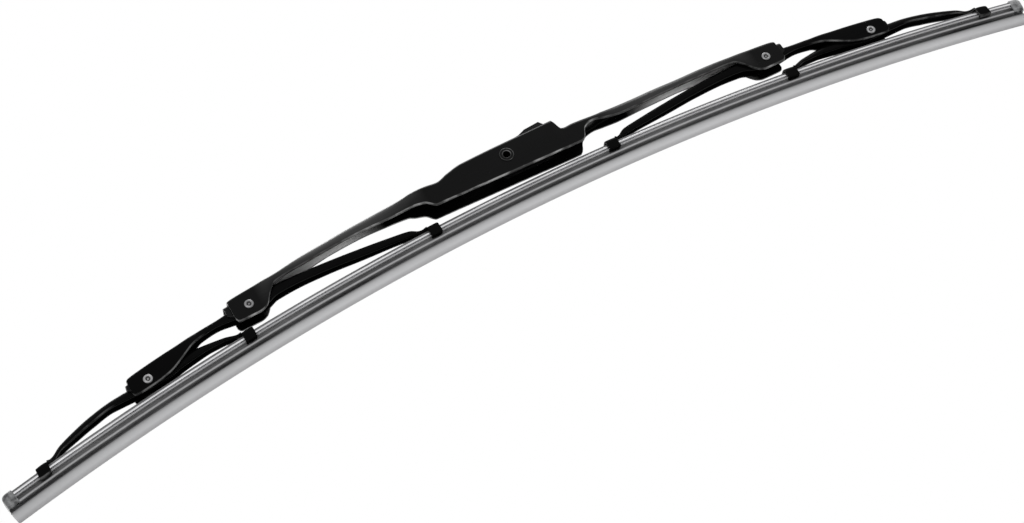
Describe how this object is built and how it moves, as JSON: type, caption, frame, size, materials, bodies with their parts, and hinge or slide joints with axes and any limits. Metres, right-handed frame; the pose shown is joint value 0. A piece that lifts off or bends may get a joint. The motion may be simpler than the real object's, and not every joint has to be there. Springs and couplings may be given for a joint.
{
  "type": "wiper blade",
  "caption": "Metal-frame windscreen wiper blade: stamped bridge with pivoting levers and claws that press a bowed rubber squeegee against the glass.",
  "frame": {"origin": "middle of the cross pin, on its axis", "axes": "+X along the blade, +Z away from the glass, Y across the width along the cross pin"},
  "size_m": [0.5, 0.0142, 0.0593],
  "materials": {
    "black_paint": "gloss black enamel on stamped steel",
    "blackened_steel": "blackened tube with a worn rim",
    "adapter_plastic": "moulded black plastic",
    "liner_plastic": "smooth black moulded plastic",
    "rivet_steel": "bright rolled steel",
    "strip_steel": "bright rolled spring steel",
    "squeegee_rubber": "graphite-coated rubber with a grey sheen",
    "stop_rubber": "moulded grey rubber"
  },
  "bodies": {
    "bridge": {"primary_bridge": "black_paint", "cross_pin": "blackened_steel", "inner_rivet_left": "rivet_steel", "inner_rivet_right": "rivet_steel", "inner_liner_left": "liner_plastic", "inner_liner_right": "liner_plastic", "squeegee": "squeegee_rubber", "spring_strip_near": "strip_steel", "spring_strip_far": "strip_steel", "end_stop_left": "stop_rubber", "end_stop_right": "stop_rubber"},
    "inner_lever_left": {"secondary_lever_left": "black_paint", "outer_rivet_left": "rivet_steel", "outer_liner_left": "liner_plastic"},
    "inner_lever_right": {"secondary_lever_right": "black_paint", "outer_rivet_right": "rivet_steel", "outer_liner_right": "liner_plastic"},
    "outer_lever_left": {"tertiary_lever_left": "black_paint"},
    "outer_lever_right": {"tertiary_lever_right": "black_paint"},
    "adapter": {"arm_adapter": "adapter_plastic"}
  },
  "joints": [
    {"name": "inner_pivot_left", "type": "hinge", "parent": "bridge", "child": "inner_lever_left", "pos_m": [-0.1285, 0, -0.01042], "axis": [0, -1, 0], "range_deg": [-3.5, 2], "stiffness_Nm_per_rad": 1.5, "deforming": ["squeegee", "spring_strip_near", "spring_strip_far"]},
    {"name": "inner_pivot_right", "type": "hinge", "parent": "bridge", "child": "inner_lever_right", "pos_m": [0.1285, 0, -0.01042], "axis": [0, 1, 0], "range_deg": [-3.5, 2], "stiffness_Nm_per_rad": 1.5, "deforming": ["squeegee", "spring_strip_near", "spring_strip_far"]},
    {"name": "outer_pivot_left", "type": "hinge", "parent": "inner_lever_left", "child": "outer_lever_left", "pos_m": [-0.1789, 0, -0.02107], "axis": [0, -1, 0], "range_deg": [-4, 3], "stiffness_Nm_per_rad": 0.8, "deforming": ["squeegee", "spring_strip_near", "spring_strip_far"]},
    {"name": "outer_pivot_right", "type": "hinge", "parent": "inner_lever_right", "child": "outer_lever_right", "pos_m": [0.1789, 0, -0.02107], "axis": [0, 1, 0], "range_deg": [-4, 3], "stiffness_Nm_per_rad": 0.8, "deforming": ["squeegee", "spring_strip_near", "spring_strip_far"]},
    {"name": "adapter_pivot", "type": "hinge", "parent": "bridge", "child": "adapter", "pos_m": [0, 0, 0], "axis": [0, 1, 0], "range_deg": [-20, 20]}
  ]
}
